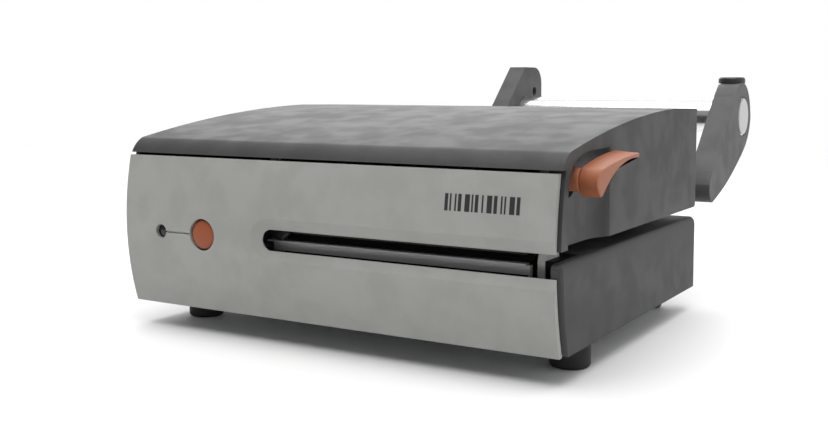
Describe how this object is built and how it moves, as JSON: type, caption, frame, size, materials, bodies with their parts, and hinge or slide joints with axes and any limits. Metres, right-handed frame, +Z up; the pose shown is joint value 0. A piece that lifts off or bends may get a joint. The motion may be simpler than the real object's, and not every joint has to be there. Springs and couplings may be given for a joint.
{
  "type": "label printer",
  "caption": "Compact label printer with side-loading label path, release lever, feed button and rear roll holder with a sliding arm.",
  "frame": {"origin": "bottom centre of the whole, on the surface it stands on", "axes": "+Z up, -Y towards the front panel, +X towards the side that the labels load from"},
  "size_m": [0.2504, 0.3238, 0.1378],
  "materials": {
    "panel_plastic": "fine matt moulded",
    "housing_plastic": "fine matt moulded",
    "arm_plastic": "fine matt moulded",
    "orange_plastic": "fine matt moulded",
    "button_plastic": "fine matt moulded",
    "foot_rubber": "matt",
    "platen_rubber": "ground",
    "polished_steel": "polished",
    "cap_plastic": "satin",
    "knob_plastic": "satin",
    "black_plastic": "matt",
    "white_acetal": "satin",
    "lens_plastic": "clear dark",
    "bar_aluminium": "satin anodised",
    "sheet_steel": "zinc plated",
    "steel": "bright",
    "ceramic": "glazed",
    "motor_case": "satin",
    "circuit_board": "solder resist",
    "component_black": "moulded",
    "socket_metal": "plated"
  },
  "bodies": {
    "root": {"lower_housing": "housing_plastic", "base_plate": "sheet_steel", "top_cover": "housing_plastic", "front_panel": "panel_plastic", "front_feet": "foot_rubber", "rear_feet": "foot_rubber", "base_screws": "steel", "chassis_plate": "sheet_steel", "upper_frame": "sheet_steel", "frame_screws": "steel", "cover_screws": "steel", "feed_switch": "black_plastic", "status_lens": "lens_plastic", "button_board": "circuit_board", "lever_bushes": "white_acetal", "tear_bar": "bar_aluminium", "edge_rail": "black_plastic", "lower_gap_sensor": "black_plastic", "upper_gap_sensor": "black_plastic", "platen_bracket": "black_plastic", "left_platen_bearing": "white_acetal", "right_platen_bearing": "white_acetal", "timing_belt": "black_plastic", "stepper_motor": "motor_case", "motor_bracket": "sheet_steel", "pivot_rod": "steel", "main_board": "circuit_board", "board_parts": "component_black", "board_spacers": "component_black", "board_screws": "steel", "head_cable": "component_black", "power_inlet": "socket_metal", "ethernet_port": "socket_metal", "usb_port": "socket_metal", "power_switch": "black_plastic", "left_arm": "arm_plastic", "spindle": "polished_steel", "spindle_end_cap": "cap_plastic", "holder_bracket": "arm_plastic", "holder_screws": "steel"},
    "feed_key": {"feed_button": "button_plastic"},
    "release_lever": {"lever_handle": "orange_plastic", "lever_shaft": "steel", "lever_cams": "steel"},
    "print_head": {"head_block": "bar_aluminium", "thermal_head": "ceramic", "head_springs": "steel", "pressure_plate": "sheet_steel"},
    "platen": {"platen_rubber": "platen_rubber", "platen_shaft": "steel", "platen_pulley": "bar_aluminium"},
    "motor_drive": {"motor_pulley": "bar_aluminium"},
    "guide": {"edge_guide": "black_plastic"},
    "rocker": {"power_rocker": "black_plastic"},
    "arm_slider": {"right_arm": "arm_plastic"},
    "arm_knob": {"release_knob": "knob_plastic"}
  },
  "joints": [
    {"name": "feed_press", "type": "slide", "parent": "root", "child": "feed_key", "axis": [0, 1, 0], "range_m": [0, 0.0012], "stiffness_N_per_m": 600, "springref_m": -0.0004},
    {"name": "lever_turn", "type": "hinge", "parent": "root", "child": "release_lever", "pos_m": [-0.00525, -0.13956, 0.0858], "axis": [1, 0, 0], "range_deg": [0, 80]},
    {"name": "head_lift", "type": "hinge", "parent": "root", "child": "print_head", "pos_m": [-0.00525, -0.09316, 0.066], "axis": [-1, 0, 0], "range_deg": [0, 2.5]},
    {"name": "platen_spin", "type": "hinge", "parent": "root", "child": "platen", "pos_m": [-0.00525, -0.13816, 0.0446], "axis": [1, 0, 0], "continuous": true},
    {"name": "motor_spin", "type": "hinge", "parent": "root", "child": "motor_drive", "pos_m": [-0.00525, -0.10316, 0.037], "axis": [1, 0, 0], "continuous": true},
    {"name": "guide_slide", "type": "slide", "parent": "root", "child": "guide", "axis": [-1, 0, 0], "range_m": [0, 0.08]},
    {"name": "rocker_tilt", "type": "hinge", "parent": "root", "child": "rocker", "pos_m": [-0.09925, 0.02884, 0.071], "axis": [1, 0, 0], "range_deg": [0, 16]},
    {"name": "arm_slide", "type": "slide", "parent": "root", "child": "arm_slider", "axis": [-1, 0, 0], "range_m": [0, 0.11]},
    {"name": "knob_pull", "type": "slide", "parent": "arm_slider", "child": "arm_knob", "axis": [0, 0, 1], "range_m": [0, 0.003], "stiffness_N_per_m": 500, "springref_m": -0.0005}
  ],
  "couplings": [
    {"joint": "head_lift", "follows": "lever_turn", "ratio": 0.03125},
    {"joint": "motor_spin", "follows": "platen_spin", "ratio": 2.4}
  ]
}
